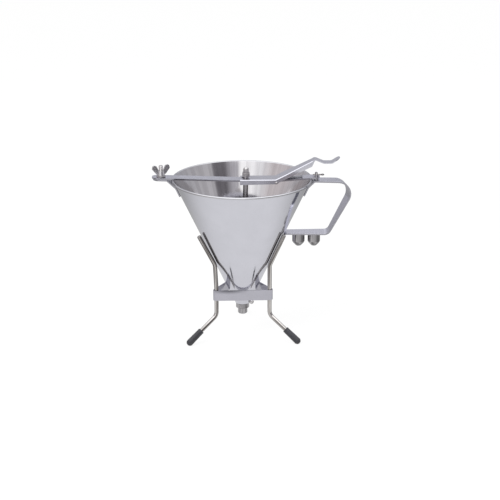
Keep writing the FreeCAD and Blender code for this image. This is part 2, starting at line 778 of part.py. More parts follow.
def build_pivot_washers():
    body = new_body("pivot_washers")
    body.AllowCompound = True
    profile = new_sketch(body, "profile", "XY_Plane")
    near = d.bar_width / 2 + d.run_gap
    far = near + d.pivot_washer
    inside = d.pivot_radius + d.weld_gap / 2
    outline(profile, box_corners(inside, d.pivot_head, near, far))
    outline(profile, box_corners(inside, d.pivot_head, -far, -near))
    spin(body, "Revolution", profile)
    place(body, d.pivot_place, 0, pivot_height)


def build_return_spring():
    body = new_body("return_spring")
    rise_per_run = d.lever_rise / d.lever_run
    spring_on_slope = d.spring_sheet / cos(atan(rise_per_run)) / 2
    under_web = sheet_on_slope() + spring_on_slope + 2 * d.weld_gap
    root = d.pivot_place + d.spring_root
    fold = d.pivot_place + d.spring_fold
    foot = d.pivot_place + d.spring_foot
    foot_height = bar_line(foot) + (d.bar_sheet + d.spring_sheet) / 2 + d.rest_gap
    sweep(body, [
        (root, web_top + (root - lever_bend) * rise_per_run - under_web),
        (fold, web_top + (fold - lever_bend) * rise_per_run - under_web, d.spring_bend),
        (foot, foot_height, d.spring_bend * 3),
        (foot + d.spring_end, foot_height + d.spring_turn_up),
    ], flat_section(d.spring_width, d.spring_sheet))


def build_handle():
    body = new_body("handle")
    tab_end = rim - d.tab_drop
    foot_end = lower_bar_middle - d.foot_tab
    slope_top = d.rim_radius + d.strap_reach - (rim - handle_middle)
    sweep(body, [
        (strap_line(tab_end), tab_end),
        (strap_line(slope_foot), slope_foot, d.strap_bend),
        (slope_top, handle_middle, d.strap_bend),
        (d.rim_radius + d.handle_over, handle_middle - d.handle_fall, d.handle_round),
        (d.rim_radius + d.grip_over, lower_bar_middle, d.grip_round),
        (strap_line(lower_bar_middle), lower_bar_middle, d.strap_bend),
        (strap_line(foot_end), foot_end),
    ], flat_section(d.strap_width, d.strap_sheet))


def build_clamp_bracket():
    body = new_body("clamp_bracket")
    tab_end = rim - d.tab_drop
    end = -(lug_place + d.lug_end)
    below_bar = (d.bar_sheet + d.strap_sheet) / 2 + d.rest_gap
    slope_top = -(d.rim_radius + d.strap_reach)
    sweep(body, [
        (-strap_line(tab_end), tab_end),
        (-strap_line(slope_foot), slope_foot, d.strap_bend),
        (slope_top, bar_line(slope_top) - below_bar, d.strap_bend),
        (end, bar_line(end) - below_bar),
    ], flat_section(d.strap_width, d.strap_sheet))
    fillet(body, d.lug_round, is_end_corner(end, d.strap_width / 2))
    hole = new_sketch(body, "hole", "XY_Plane", rim)
    circle(hole, -lug_place, 0, d.clamp_radius + d.weld_gap)
    extrude(body, "Pocket", hole, 4 * d.strap_sheet)


def build_clamp_stud():
    body = new_body("clamp_stud")
    low = bar_line(-lug_place) - d.bar_sheet / 2 - d.strap_sheet - d.rest_gap
    top = rim + d.clamp_height
    revolved(body, [
        (0, low),
        (d.clamp_radius, low),
        (d.clamp_radius, top - d.clamp_bevel),
        (d.clamp_radius - d.clamp_bevel, top),
        (0, top),
    ])
    place(body, -lug_place, 0, 0)


def clamp_washer_foot():
    """Lower face of the level washer, which clears the highest point of the sloping bar under it."""
    return bar_line(-(lug_place + d.washer_radius)) + d.bar_sheet / 2 + d.rest_gap


def build_clamp_washer():
    body = new_body("clamp_washer")
    low = clamp_washer_foot()
    revolved(body, box_corners(d.clamp_radius + d.bar_hole_play, d.washer_radius, low, low + d.washer_height))
    place(body, -lug_place, 0, 0)


def build_wing_nut():
    body = new_body("wing_nut")
    foot = clamp_washer_foot() + d.washer_height + d.rest_gap
    hub_top = foot + d.wing_hub
    revolved(body, [(0, foot), (d.wing_base, foot), (d.wing_neck, hub_top), (0, hub_top)])
    blade = d.wing_blade
    tip_top = foot + d.wing_height
    for name, side in (("wing_a", 1), ("wing_b", -1)):
        wing = new_sketch(body, name, "XZ_Plane")
        tip = d.wing_span * side
        outline(wing, [
            (0, foot + 1.2),
            (d.wing_base * 1.2 * side, foot + 1.9, blade * 0.3),
            (tip, tip_top - blade, blade * 0.45),
            (tip - blade * 0.25 * side, tip_top, blade * 0.45),
            (tip - blade * 1.15 * side, tip_top - blade * 0.2, blade * 0.4),
            (d.wing_neck * 0.7 * side, hub_top),
            (0, hub_top),
        ])
        extrude(body, "Pad", wing, d.wing_sheet)
    hole = new_sketch(body, "thread", "XY_Plane", foot - 1)
    circle(hole, 0, 0, d.clamp_radius + d.run_gap)
    extrude(body, "Pocket", hole, d.wing_hub + 4, both_sides=False, backwards=True)
    place(body, -lug_place, 0, 0, (0, 0, 1), d.wing_angle)


def build_hook_stud():
    body = new_body("hook_stud")
    low = rim - d.handle_top
    shoulder = bar_line(hook_place - d.hook_shoulder) - d.bar_sheet / 2 - d.rest_gap
    top = rim + d.hook_height
    revolved(body, [
        (0, low),
        (d.hook_shoulder, low),
        (d.hook_shoulder, shoulder),
        (d.hook_radius, shoulder),
        (d.hook_radius, top - d.hook_bevel),
        (d.hook_radius - d.hook_bevel, top),
        (0, top),
    ])
    eye = new_sketch(body, "cross_hole", "YZ_Plane")
    circle(eye, 0, rim + d.keeper_height, d.keeper_radius + d.run_gap)
    extrude(body, "Pocket", eye, 4 * d.hook_radius)
    place(body, hook_place, 0, 0)


def build_retaining_pin():
    shank = doc.addObject("Part::Cylinder", "retaining_shank")
    bind(shank, "Radius", d.keeper_radius)
    bind(shank, "Height", d.keeper_length)
    start = hook_place - d.keeper_before
    place(shank, start, 0, rim + d.keeper_height, (0, 1, 0), 90.0)
    eye = doc.addObject("PartDesign::Body", "retaining_eye")
    profile = new_sketch(eye, "profile", "XZ_Plane")
    outline(profile, eight_sided(d.keeper_eye, as_size(0.0), d.keeper_wire))
    spin(eye, "Revolution", profile)
    place(eye, start + d.keeper_length + d.keeper_eye, 0, rim + d.keeper_height)
    pin = doc.addObject("Part::Fuse", "retaining_pin")
    pin.Base = shank
    pin.Tool = eye
    pin.Label = "retaining_pin"
    sub_parts.append(pin)


def foot_line_height(radius):
    """Height of the splayed part of a leg at this distance from the axis."""
    return d.foot_radius - d.foot_flat + (d.foot_place - radius) * tan(d.foot_angle)


def upper_bend(place_from_axis, angle):
    """Corners of the bend where an arm starts, as two turns round its bend radius."""
    step = d.leg_bend * (tan(angle / 2) - tan(angle / 4))
    return [
        (place_from_axis + step * sin(angle), d.leg_shoulder + step * cos(angle)),
        (place_from_axis, d.leg_shoulder - step),
    ]


def lower_bend():
    """Corners of the bend above a foot, as three turns round its bend radius."""
    turn = 90.0 - d.foot_angle
    corner = foot_line_height(d.leg_place)
    step = d.leg_bend * (tan(turn / 2) - tan(turn / 6))
    inwards = d.leg_bend / cos(turn / 2) - d.leg_bend / cos(turn / 6)
    return [
        (d.leg_place, corner + step),
        (d.leg_place + inwards * cos(turn / 2), corner + inwards * sin(turn / 2)),
        (d.leg_place + step * cos(d.foot_angle), corner - step * sin(d.foot_angle)),
    ]


def build_leg(side, azimuth, lean, arm_angle, arm_length):
    body = new_body("leg_" + side)
    shoulder_place = d.leg_place if lean is None else d.leg_place + lean
    arm_end = (shoulder_place + arm_length * sin(arm_angle), d.leg_shoulder + arm_length * cos(arm_angle))
    foot_end = d.foot_place - d.foot_wall * cos(d.foot_angle)
    kink = [] if lean is None else [(d.leg_place, d.band_top)]
    corners = [arm_end] + upper_bend(shoulder_place, arm_angle) + kink + lower_bend()
    corners.append((foot_end, foot_line_height(foot_end)))
    sweep(body, corners, round_section(d.leg_radius), mitred=True)
    place(body, 0, 0, 0, (0, 0, 1), azimuth + d.stand_angle)


def build_foot(side, azimuth):
    """A rubber cap: a slightly tapered sleeve with a round end, flat where it stands."""
    turn = FreeCAD.Rotation(FreeCAD.Vector(0, 0, 1), (azimuth + d.stand_angle).value)
    lean = FreeCAD.Rotation(FreeCAD.Vector(0, 1, 0), -(90.0 - d.foot_angle.value))
    tip = FreeCAD.Vector(d.foot_place.value, 0, (d.foot_radius - d.foot_flat).value)
    cap = doc.addObject("PartDesign::Body", "rubber_cap_" + side)
    inside = d.leg_radius + d.weld_gap
    profile = new_sketch(cap, "profile", "XZ_Plane")
    outline(profile, [
        (0, -(d.foot_radius * 0.95)),
        (d.foot_radius * 0.38, -(d.foot_radius * 0.95)),
        (d.foot_radius * 0.79, -(d.foot_radius * 0.65)),
        (d.foot_radius, -(d.foot_radius * 0.2)),
        (d.foot_mouth, d.foot_length),
        (inside, d.foot_length),
        (inside, d.foot_wall),
        (0, d.foot_wall),
    ])
    spin(cap, "Revolution", profile)
    cap.Placement = FreeCAD.Placement(turn.multVec(tip), turn * lean)
    table = doc.addObject("Part::Box", "table_" + side)
    bind(table, "Length", 4 * d.foot_place)
    bind(table, "Width", 4 * d.foot_place)
    bind(table, "Height", d.foot_radius)
    place(table, -2 * d.foot_place, -2 * d.foot_place, -d.foot_radius)
    foot = doc.addObject("Part::Cut", "foot_" + side)
    foot.Base = cap
    foot.Tool = table
    foot.Label = "foot_" + side
    sub_parts.append(foot)


def band_corners(out, radius):
    """Corners of the triangular strap, its sides this far outside the legs' wires."""
    reach = d.leg_place + 2 * (d.leg_radius + d.weld_gap + out)
    return [(reach * cos(as_size(a)), reach * sin(as_size(a)), radius) for a in (BACK_AZIMUTH, LEFT_AZIMUTH, RIGHT_AZIMUTH)]


def build_stand_band():
    body = new_body("stand_band")
    outside = new_sketch(body, "outside", "XY_Plane", d.band_top)
    corner = d.leg_radius + d.weld_gap
    outline(outside, band_corners(d.band_sheet, corner + d.band_sheet))
    extrude(body, "Pad", outside, d.band_height, both_sides=False, backwards=True)
    inside = new_sketch(body, "inside", "XY_Plane", d.band_top)
    outline(inside, band_corners(as_size(0.0), corner))
    extrude(body, "Pocket", inside, d.band_height, both_sides=False)
    place(body, 0, 0, 0, (0, 0, 1), d.stand_angle)


build_funnel_cone()
build_outlet_socket()
build_socket_lug()
build_fitted_nozzle()
build_spare_nozzle("spare_nozzle_inner", spare_place, d.spare_bore_a)
build_spare_nozzle("spare_nozzle_outer", spare_place + d.spare_pitch, d.spare_bore_b)
build_nozzle_stud("nozzle_stud_inner", spare_place)
build_nozzle_stud("nozzle_stud_outer", spare_place + d.spare_pitch)
build_valve_rod()
build_rod_nut()
build_rod_cap_nut()
build_bridge_bar()
build_lever()
build_pivot_pin()
build_pivot_washers()
build_return_spring()
build_handle()
build_clamp_bracket()
build_clamp_stud()
build_clamp_washer()
build_wing_nut()
build_hook_stud()
build_retaining_pin()
left_arm_length = d.arm_length + d.left_arm_extra
build_leg("left", LEFT_AZIMUTH, d.left_lean, d.left_arm_angle, left_arm_length)
build_leg("right", RIGHT_AZIMUTH, None, d.right_arm_angle, d.arm_length)
build_leg("back", BACK_AZIMUTH, None, d.arm_angle, d.arm_length)
build_foot("left", LEFT_AZIMUTH)
build_foot("right", RIGHT_AZIMUTH)
build_foot("back", BACK_AZIMUTH)
build_stand_band()
doc.recompute()


def check_document():
    for item in doc.Objects:
        if "Invalid" in item.State or "Error" in item.State:
            raise RuntimeError("%s failed: %s" % (item.Name, item.State))
    for part in sub_parts:
        if part.Shape.isNull() or not part.Shape.isValid():
            raise RuntimeError(part.Label + " has no valid shape")


check_document()
os.makedirs("parts", exist_ok=True)
for part in sub_parts:
    part.Shape.exportStep(os.path.join("parts", part.Label + ".step"))
    size = part.Shape.BoundBox
    print("%-20s %9.1f mm3  x %7.1f %7.1f  y %7.1f %7.1f  z %7.1f %7.1f" % (
        part.Label, part.Shape.Volume, size.XMin, size.XMax, size.YMin, size.YMax, size.ZMin, size.ZMax))
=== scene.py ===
import json
import math

import bmesh
import bpy
from mathutils import Matrix, Vector


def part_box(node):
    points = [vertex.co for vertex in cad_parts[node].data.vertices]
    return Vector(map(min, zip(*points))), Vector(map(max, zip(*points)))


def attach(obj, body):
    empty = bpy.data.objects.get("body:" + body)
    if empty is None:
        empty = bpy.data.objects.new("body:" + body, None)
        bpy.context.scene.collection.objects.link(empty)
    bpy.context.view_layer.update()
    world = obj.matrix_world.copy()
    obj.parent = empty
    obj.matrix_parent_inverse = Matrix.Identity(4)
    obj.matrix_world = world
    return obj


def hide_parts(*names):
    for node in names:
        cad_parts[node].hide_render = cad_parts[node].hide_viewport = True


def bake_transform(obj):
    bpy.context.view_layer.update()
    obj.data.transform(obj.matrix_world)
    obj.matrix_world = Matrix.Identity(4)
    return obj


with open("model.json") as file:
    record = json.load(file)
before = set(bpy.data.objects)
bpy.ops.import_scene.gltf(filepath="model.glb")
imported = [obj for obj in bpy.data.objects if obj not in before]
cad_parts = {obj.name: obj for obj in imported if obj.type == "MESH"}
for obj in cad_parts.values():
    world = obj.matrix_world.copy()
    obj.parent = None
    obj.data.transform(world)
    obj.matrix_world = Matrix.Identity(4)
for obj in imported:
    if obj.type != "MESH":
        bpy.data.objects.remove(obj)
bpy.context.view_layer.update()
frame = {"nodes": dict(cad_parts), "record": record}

MM = 0.001
NODES = frame["nodes"]
NODE_SLOTS = {s["node"]: s["material_slot"] for s in frame["record"]["subparts"]}
NODE_BODIES = {n: body for body, nodes in frame["record"]["behaviour"]["bodies"].items() for n in nodes}

# Sizes in millimetres, z above the table, as in the CAD source
RIM = 229.0
RIM_RADIUS = 95.0
CONE_ANGLE = math.radians(25.0)
SLOPE = math.tan(CONE_ANGLE)
SHEET_ACROSS = 1.0 / math.cos(CONE_ANGLE)
CONE_END = 47.5
CONE_RINGS = (80, 120, 160, 200, 220)
INSIDE_TOP = 228.3
OUTSIDE_TOP = 226.6
LIP = ((94.02, 228.72), (94.5, 228.93))
BEAD_MIDDLE = (95.7, 227.5)
BEAD_RADIUS = 1.5
BEAD_ANGLES = range(112, -166, -9)

# Fitted nozzle
OUTLET_THREAD = 7.05
COLLAR_RADIUS = 9.4
COLLAR_TOP = 46.8
COLLAR_LOW = 40.5
SPOUT_TOP = 39.8
SPOUT_RADIUS = 6.7
MOUTH = 31.1
MOUTH_BORE = 4.0
THREAD_END = 41.3

# Spare nozzles
SPARE_TOP = 149.6
SPARE_RADIUS = 8.7
SPARE_EDGE = 138.3
SPARE_TIP = 131.9
SPARE_THREAD_END = 144.1
SPARES = (("spare_nozzle_inner", 78.2, 2.5), ("spare_nozzle_outer", 99.7, 1.5))

# Clamp screw and valve rod
CLAMP_PLACE = -111.0
SCREW_RADIUS = 3.0
SCREW_BEVEL = 0.7
PITCH = 1.0
THREAD_DEPTH = 0.42
ROD_LEAN = math.radians(1.66)
ROD_END = 45.56
ROD_RADIUS = 3.5
ROD_THREAD_RADIUS = 3.0
ROD_TIP_RADIUS = 1.2
ROD_TIP = 2.3

# Stand
STAND_TURN = 1.5
WIRE_RADIUS = 3.0
LEG_PLACE = 42.9
SHOULDER = 109.0
SHOULDER_BEND = 14.0
ANKLE_BEND = 11.0
ARM_LENGTH = 51.8
LEG_AZIMUTHS = {"left": 210.0, "right": 330.0, "back": 90.0}
ARM_ANGLES = {"right": 25.2, "back": 27.5}
LEFT_ARM = ((64.9, 154.0), (43.6, 110.5, 14.0), (42.7, 74.0, 20.0))
LEFT_ARM_SIDEWAYS = -8.0
LEFT_ARM_LOW = 95.0
LEFT_ARM_RISE = 59.0
FOOT_PLACE = 86.6
FOOT_RADIUS = 4.75
FOOT_WALL = 2.5
FOOT_SPLAY = 36.0
TIP_HEIGHT = FOOT_RADIUS - 0.4

# Handle
STRAP_WIDTH = 20.0
STRAP_SHEET = 2.0
STRAP_OFF = 1.05 / math.cos(CONE_ANGLE)
STRAP_REACH = 7.6
STRAP_BEND = 3.0
UPPER_TAB_END = 205.4
UPPER_BAR = ((99.4, 225.8), (158.6, 224.5))
UPPER_BEND = 17.0
LOWER_BEND = 9.0
LOWER_BAR = 150.7
LOWER_BAR_END = 119.0
LOWER_TAB_END = 131.0
LOWER_BAR_TILT = 0.068
UPPER_BAR_TILT = 0.03
GRIP_TWIST = 0.21
GRIP_SHIFT = 0.8

# Where a bend of the handle starts, and how much further on it is full: outwards along X, or up or down
GRIP_OUT = (108.0, 30.0)
GRIP_UP = (152.0, 25.0)
LOWER_BAR_OUT = (62.0, 10.0)
LOWER_BAR_DOWN = (-170.0, 14.0)
UPPER_BAR_OUT = (98.0, 8.0)
UPPER_BAR_UP = (196.0, 14.0)

# Lever's folds: they run out before its crest, and their edges lie above and outside these
FOLD_RADIUS = 1.2
FOLD_END = 96.0
FOLD_LOW = 229.0
FOLD_SIDE = 7.4
FOLD_SHORTEST = 8.0

# Leaf spring
SPRING_LINE = ((68.0, 238.75), (48.5, 228.95, 1.0), (80.0, 230.75, 3.0), (83.0, 231.9))
SPRING_STEPS = 6


def cone_radius(z):
    """Outside radius of the cone at height z."""
    return RIM_RADIUS - (RIM - z) * SLOPE


def share_of(value, start, run, most=1.0):
    """0 up to start, 1 where value is a run further on, and never more than most."""
    return min(most, max(0.0, (value - start) / run))


# Node helpers

def link(tree, start, socket_out, end, socket_in):
    tree.links.new(start.outputs[socket_out], end.inputs[socket_in])


def math_node(tree, operation, *values):
    """A Math node; each value is a number or a (node, socket) pair."""
    node = tree.nodes.new("ShaderNodeMath")
    node.operation = operation
    for number, value in enumerate(values):
        if isinstance(value, tuple):
            link(tree, value[0], value[1], node, number)
        else:
            node.inputs[number].default_value = value
    return node


def remapped(tree, source, socket, low, high, to_low=0.0, to_high=1.0):
    """Goes from to_low to to_high as a value goes from low to high, and stays there."""
    remap = tree.nodes.new("ShaderNodeMapRange")
    remap.inputs["From Min"].default_value = low
    remap.inputs["From Max"].default_value = high
    remap.inputs["To Min"].default_value = to_low
    remap.inputs["To Max"].default_value = to_high
    link(tree, source, socket, remap, "Value")
    return remap


def mapped(tree, coords, kind, vector_type="POINT", place=(0, 0, 0), scale=(1, 1, 1)):
    mapping = tree.nodes.new("ShaderNodeMapping")
    mapping.vector_type = vector_type
    mapping.inputs["Location"].default_value = place
    mapping.inputs["Scale"].default_value = scale
    link(tree, coords, kind, mapping, "Vector")
    return mapping


def length_of(tree, source):
    length = tree.nodes.new("ShaderNodeVectorMath")
    length.operation = "LENGTH"
    link(tree, source, 0, length, 0)
    return length


def tint_mix(tree, share, first, second):
    """Goes from the first tint to the second with share; each is a tint or a (node, socket) pair."""
    mix = tree.nodes.new("ShaderNodeMix")
    mix.data_type = "RGBA"
    link(tree, share, 0, mix, "Factor")
    for socket, value in (("A", first), ("B", second)):
        if isinstance(value[0], bpy.types.Node):
            link(tree, value[0], value[1], mix, socket)
        else:
            mix.inputs[socket].default_value = value
    return mix


def shader_mix(tree, share, socket, first, second):
    mix = tree.nodes.new("ShaderNodeMixShader")
    link(tree, share, socket, mix, "Fac")
    link(tree, first, 0, mix, 1)
    link(tree, second, 0, mix, 2)
    return mix


def ray_kinds(tree):
    """A Light Path node, and 1 for the glossy and transmission rays that metal and glass send out."""
    path = tree.nodes.new("ShaderNodeLightPath")
    mirror = math_node(tree, "MAXIMUM", (path, "Is Glossy Ray"), (path, "Is Transmission Ray"))
    return path, mirror


# Camera and light

SENSOR = 36.0
LENS = 94.46
CAMERA_PLACE = (-0.002, -1.737, 0.714)
CAMERA_TILT = 90 - 18.74
CAMERA_ROLL = 0.17
CAMERA_PAN = -0.476
LAMP_AIM = (0, 0, 0.15)
LAMP_SIZE = 0.9
LAMPS = (("key", (-0.9, -0.7, 1.3), 14.0), ("fill", (1.1, -0.8, 0.9), 7.0))

# What polished steel sees around the studio: degrees from the camera's side towards +X, and the tint there
SURROUND = (
    (-180, (0.58, 0.58, 0.62)), (-125, (0.60, 0.59, 0.62)), (-92, (0.76, 0.71, 0.73)),
    (-62, (0.88, 0.82, 0.83)), (-38, (1.15, 1.15, 1.18)), (-24, (1.40, 1.40, 1.42)),
    (3, (1.50, 1.50, 1.50)), (8, (0.66, 0.65, 0.69)), (22, (0.60, 0.59, 0.63)),
    (33, (0.21, 0.20, 0.22)), (56, (0.20, 0.19, 0.21)), (61, (0.70, 0.69, 0.72)),
    (90, (0.64, 0.63, 0.66)), (130, (0.56, 0.56, 0.60)), (180, (0.58, 0.58, 0.62)),
)
SURROUND_TOP = 1.5

# The studio's back wall is brighter above a low edge, and a light panel hangs overhead
BACK_NEAR = 0.3
BACK_FAR = 0.6
BACK_LOW = 0.35
BACK_HIGH = 0.44
BACK_TINT = (1.05, 1.05, 1.09, 1)
OVERHEAD_LOW = 0.6
OVERHEAD_HIGH = 0.8
OVERHEAD = (2.2, 2.2, 2.22, 1)

# Floor: steel sees it fade between two distances from a middle, in metres
FLOOR_REACH = 6.0
FLOOR_TINT = (0.95, 0.95, 0.95, 1)
FLOOR_GLOW = 0.86
FLOOR_SHIFT = (0.0, 0.38, 0.0)
FLOOR_STRETCH = (1.0, 0.62, 1.0)
FLOOR_NEAR = 0.33
FLOOR_FAR = 0.70
FLOOR_FADED = 0.32


def add_camera():
    data = bpy.data.cameras.new("camera")
    data.sensor_width = SENSOR
    data.lens = LENS
    data.clip_start = 0.05
    camera = bpy.data.objects.new("camera", data)
    camera.location = CAMERA_PLACE
    camera.rotation_euler = (math.radians(CAMERA_TILT), math.radians(CAMERA_ROLL), math.radians(CAMERA_PAN))
    bpy.context.scene.collection.objects.link(camera)
    bpy.context.scene.camera = camera


def add_lamp(name, place, watts):
    data = bpy.data.lights.new(name, "AREA")
    data.shape = "RECTANGLE"
    data.size = LAMP_SIZE
    data.size_y = LAMP_SIZE
    data.energy = watts
    lamp = bpy.data.objects.new(name, data)
    lamp.location = place
    lamp.rotation_euler = (Vector(LAMP_AIM) - Vector(place)).to_track_quat("-Z", "Y").to_euler()
    lamp.visible_glossy = False
    bpy.context.scene.collection.objects.link(lamp)


def surround_tint(tree, split):
    """The tint of SURROUND in the direction of a ray."""
    forward = math_node(tree, "MULTIPLY", (split, "Y"), -1.0)
    around = math_node(tree, "ARCTAN2", (split, "X"), (forward, 0))
    turn = math_node(tree, "MULTIPLY_ADD", (around, 0), 0.5 / math.pi, 0.5)
    ramp = tree.nodes.new("ShaderNodeValToRGB")
    stops = ramp.color_ramp.elements
    stops.remove(stops[1])
    stops[0].position = 0.0
    for number, (degrees, tint) in enumerate(SURROUND):
        stop = stops.new(degrees / 360 + 0.5) if number else stops[0]
        stop.color = (*[c / SURROUND_TOP for c in tint], 1)
    link(tree, turn, 0, ramp, "Fac")
    level = tree.nodes.new("ShaderNodeVectorMath")
    level.operation = "SCALE"
    level.inputs["Scale"].default_value = SURROUND_TOP
    link(tree, ramp, "Color", level, 0)
    return level


def background(tree, tint=(1, 1, 1, 1)):
    node = tree.nodes.new("ShaderNodeBackground")
    node.inputs["Color"].default_value = tint
    node.inputs["Strength"].default_value = 1.0
    return node


def make_world():
    """White for the camera and for diffuse light; steel sees the studio's walls and its light panel."""
    world = bpy.data.worlds.new("studio")
    bpy.context.scene.world = world
    world.use_nodes = True
    tree = world.node_tree
    tree.nodes.clear()
    out = tree.nodes.new("ShaderNodeOutputWorld")
    coords = tree.nodes.new("ShaderNodeTexCoord")
    split = tree.nodes.new("ShaderNodeSeparateXYZ")
    link(tree, coords, "Generated", split, 0)
    behind = remapped(tree, split, "Y", BACK_NEAR, BACK_FAR)
    raised = remapped(tree, split, "Z", BACK_LOW, BACK_HIGH)
    lit = math_node(tree, "MULTIPLY", (behind, 0), (raised, 0))
    wall = tint_mix(tree, lit, (surround_tint(tree, split), 0), BACK_TINT)
    overhead = remapped(tree, split, "Z", OVERHEAD_LOW, OVERHEAD_HIGH)
    studio = tint_mix(tree, overhead, (wall, "Result"), OVERHEAD)
    seen = background(tree)
    link(tree, studio, "Result", seen, "Color")
    path, mirror = ray_kinds(tree)
    light = shader_mix(tree, mirror, 0, background(tree), seen)
    whole = shader_mix(tree, path, "Is Camera Ray", light, background(tree))
    link(tree, whole, 0, out, "Surface")


def make_floor():
    """White floor. Steel sees it fade a little with distance, as a lit table does."""
    mesh = bpy.data.meshes.new("floor")
    corners = ((-1, -1), (1, -1), (1, 1), (-1, 1))
    mesh.from_pydata([(x * FLOOR_REACH, y * FLOOR_REACH, 0) for x, y in corners], [], [(0, 1, 2, 3)])
    floor = bpy.data.objects.new("floor", mesh)
    bpy.context.scene.collection.objects.link(floor)
    material = bpy.data.materials.new("floor_white")
    material.use_nodes = True
    tree = material.node_tree
    tree.nodes.clear()
    out = tree.nodes.new("ShaderNodeOutputMaterial")
    matte = tree.nodes.new("ShaderNodeBsdfDiffuse")
    matte.inputs["Color"].default_value = FLOOR_TINT
    glow = tree.nodes.new("ShaderNodeEmission")
    coords = tree.nodes.new("ShaderNodeTexCoord")
    place = mapped(tree, coords, "Object", place=FLOOR_SHIFT, scale=FLOOR_STRETCH)
    fade = remapped(tree, length_of(tree, place), "Value", FLOOR_NEAR, FLOOR_FAR, 1.0, FLOOR_FADED)
    fade.interpolation_type = "SMOOTHSTEP"
    path, mirror = ray_kinds(tree)
    level = tree.nodes.new("ShaderNodeMix")
    level.inputs["A"].default_value = 1.0
    link(tree, mirror, 0, level, "Factor")
    link(tree, fade, 0, level, "B")
    link(tree, level, "Result", glow, "Strength")
    clear = math_node(tree, "MAXIMUM", (path, "Is Camera Ray"), (mirror, 0))
    share = math_node(tree, "MULTIPLY", (clear, 0), FLOOR_GLOW)
    link(tree, shader_mix(tree, share, 0, matte, glow), 0, out, "Surface")
    mesh.materials.append(material)


# Materials

NOISE_LOW = 0.3
NOISE_HIGH = 0.7
NOISE_ROUGHNESS = 0.62
BUMP_HEIGHT = 0.0002
CLOUDS = (28.0, 28.0, 28.0)
CLOUD_DETAIL = 3.0
STREAK_DETAIL = 4.0
DENTS = (38.0, 38.0, 60.0)
DENT_DETAIL = 1.5


def stretched_noise(tree, coords, stretch, detail=6.0, kind="Object"):
    noise = tree.nodes.new("ShaderNodeTexNoise")
    noise.inputs["Scale"].default_value = 1.0
    noise.inputs["Detail"].default_value = detail
    noise.inputs["Roughness"].default_value = NOISE_ROUGHNESS
    link(tree, mapped(tree, coords, kind, scale=stretch), 0, noise, "Vector")
    return noise


def spread(tree, noise, low, high):
    """The noise's usual values, spread from low to high."""
    return remapped(tree, noise, "Fac", NOISE_LOW, NOISE_HIGH, low, high)


def new_material(name):
    material = bpy.data.materials.new(name)
    material.use_nodes = True
    tree = material.node_tree
    return material, tree, tree.nodes["Principled BSDF"], tree.nodes.new("ShaderNodeTexCoord")


def add_bump(tree, noise, depth, height=BUMP_HEIGHT):
    bump = tree.nodes.new("ShaderNodeBump")
    bump.inputs["Strength"].default_value = depth
    bump.inputs["Distance"].default_value = height
    link(tree, noise, "Fac", bump, "Height")
    return bump


def steel(name, tint, rough, grain, depth=0.02, blotch=0.05, painted_reflections=None, wave=0.0, painted_shade=None):
    """Brushed or polished steel. grain is the stretch of the brushing along X, Y and Z, per metre.

    Painted reflection streaks are given as (stretch along the wrap layer, dark tint, noise of a full streak,
    noise where the streaks stop).
    wave is the height of large dents in metres. One spot of painted shade is given as (middle, reach, dark
    tint), in metres.
    """
    material, tree, shader, coords = new_material(name)
    shader.inputs["Metallic"].default_value = 1.0
    fine = stretched_noise(tree, coords, grain)
    cloud = stretched_noise(tree, coords, CLOUDS, CLOUD_DETAIL)
    brushed = spread(tree, fine, rough * 0.75, rough * 1.15)
    worn = spread(tree, cloud, -rough * 0.12, rough * 0.2)
    link(tree, math_node(tree, "ADD", (brushed, 0), (worn, 0)), 0, shader, "Roughness")
    darker = (*[c * (1 - blotch) for c in tint], 1)
    lighter = (*[min(1.0, c * (1 + blotch)) for c in tint], 1)
    coat = tint_mix(tree, spread(tree, cloud, 0.0, 1.0), darker, lighter)
    # painted reflections: dark streaks round the part or along it, where its surroundings would reflect dark
    if painted_reflections:
        stretch, painted_dark, low, high = painted_reflections
        run = stretched_noise(tree, coords, stretch, STREAK_DETAIL, "UV")
        coat = tint_mix(tree, remapped(tree, run, "Fac", low, high), (*painted_dark, 1), (coat, "Result"))
    # painted shade: one darker spot, fading out towards its reach
    if painted_shade:
        middle, reach, painted_dark = painted_shade
        spot = mapped(tree, coords, "Object", "TEXTURE", middle, reach)
        unshaded = remapped(tree, length_of(tree, spot), "Value", 0.0, 1.0)
        unshaded.interpolation_type = "SMOOTHSTEP"
        coat = tint_mix(tree, unshaded, (*painted_dark, 1), (coat, "Result"))
    link(tree, coat, "Result", shader, "Base Color")
    bump = add_bump(tree, fine, depth)
    if wave:
        dents = stretched_noise(tree, coords, DENTS, DENT_DETAIL)
        link(tree, add_bump(tree, dents, 1.0, wave), 0, bump, "Normal")
    link(tree, bump, 0, shader, "Normal")
    return material


def rubber(name):
    material, tree, shader, coords = new_material(name)
    shader.inputs["Specular IOR Level"].default_value = 0.4
    grain = stretched_noise(tree, coords, (900.0, 900.0, 900.0))
    cloud = stretched_noise(tree, coords, (60.0, 60.0, 60.0), CLOUD_DETAIL)
    link(tree, spread(tree, cloud, 0.36, 0.52), 0, shader, "Roughness")
    coat = tint_mix(tree, spread(tree, cloud, 0.0, 1.0), (0.020, 0.020, 0.024, 1), (0.034, 0.034, 0.040, 1))
    link(tree, coat, "Result", shader, "Base Color")
    link(tree, add_bump(tree, grain, 0.15), 0, shader, "Normal")
    return material


